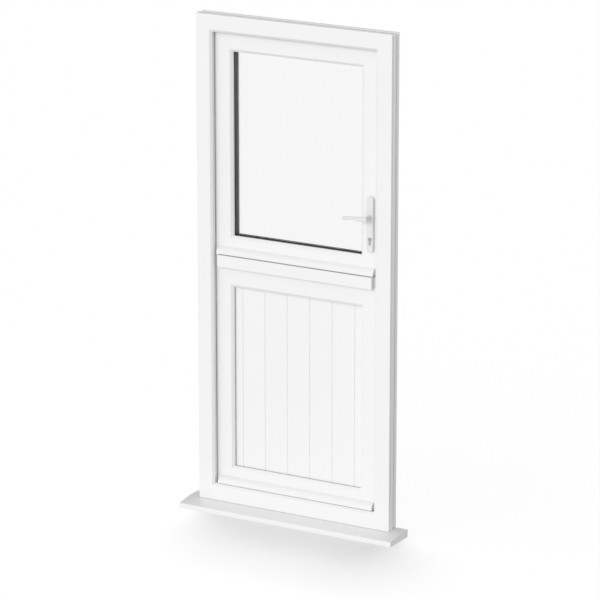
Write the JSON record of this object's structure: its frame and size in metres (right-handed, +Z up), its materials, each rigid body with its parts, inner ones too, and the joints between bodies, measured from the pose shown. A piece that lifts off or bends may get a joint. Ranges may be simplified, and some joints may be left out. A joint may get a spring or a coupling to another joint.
{
  "type": "stable door set",
  "caption": "Stable door with a glazed upper leaf and a boarded lower leaf that open inwards on their own, in a plastic frame on a projecting cill, with a lever handle.",
  "frame": {"origin": "underside of the cill, at the middle of the width, below the plane of the frame's outer face", "axes": "+Z up, -Y towards the outside, +X towards the lock side as seen from outside"},
  "size_m": [1, 0.238, 2.1],
  "materials": {
    "white_plastic": "white plastic, smooth",
    "clear_glass": "clear float glass",
    "black_spacer": "black spacer bar",
    "black_rubber": "black rubber",
    "white_metal": "white powder coat",
    "lock_steel": "plated steel",
    "nickel": "nickel plate"
  },
  "bodies": {
    "frame": {"frame_head": "white_plastic", "frame_threshold": "white_plastic", "frame_hinge_jamb": "white_plastic", "frame_lock_jamb": "white_plastic", "frame_weather_seal": "black_rubber", "cill": "white_plastic", "cill_end_caps": "white_plastic", "upper_hinge_pins": "white_metal", "lower_hinge_pins": "white_metal", "lock_keeps": "lock_steel"},
    "upper_leaf": {"glass_inner_pane": "clear_glass", "glass_outer_pane": "clear_glass", "glass_spacer": "black_spacer", "upper_bead_bottom": "white_plastic", "upper_bead_hinge": "white_plastic", "upper_bead_lock": "white_plastic", "upper_bead_top": "white_plastic", "upper_bottom_rail": "white_plastic", "upper_hinge_flags": "white_metal", "upper_hinge_stile": "white_plastic", "upper_infill_gasket": "black_rubber", "upper_lock_faceplate": "lock_steel", "upper_lock_stile": "white_plastic", "upper_top_rail": "white_plastic", "upper_weather_bar": "white_plastic", "outside_backplate": "white_metal", "inside_backplate": "white_metal", "lock_cylinder": "nickel"},
    "lower_leaf": {"lower_bead_bottom": "white_plastic", "lower_bead_hinge": "white_plastic", "lower_bead_lock": "white_plastic", "lower_bead_top": "white_plastic", "lower_bottom_rail": "white_plastic", "lower_hinge_flags": "white_metal", "lower_hinge_stile": "white_plastic", "lower_infill_gasket": "black_rubber", "lower_lock_faceplate": "lock_steel", "lower_lock_stile": "white_plastic", "lower_meeting_cover": "white_plastic", "lower_meeting_rail": "white_plastic", "lower_panel": "white_plastic", "lower_top_rail": "white_plastic", "lower_weather_bar": "white_plastic"},
    "lever": {"outside_lever": "white_metal", "inside_lever": "white_metal", "handle_spindle": "lock_steel"}
  },
  "joints": [
    {"name": "upper_leaf_hinge", "type": "hinge", "parent": "frame", "child": "upper_leaf", "pos_m": [-0.416, 0.112, 1.568], "axis": [0, 0, 1], "range_deg": [0, 100]},
    {"name": "lower_leaf_hinge", "type": "hinge", "parent": "frame", "child": "lower_leaf", "pos_m": [-0.416, 0.112, 0.569], "axis": [0, 0, 1], "range_deg": [0, 100]},
    {"name": "lever_turn", "type": "hinge", "parent": "upper_leaf", "child": "lever", "pos_m": [0.344, 0.065, 1.342], "axis": [0, -1, 0], "range_deg": [-40, 40], "stiffness_Nm_per_rad": 5, "springref_deg": -1.72}
  ]
}
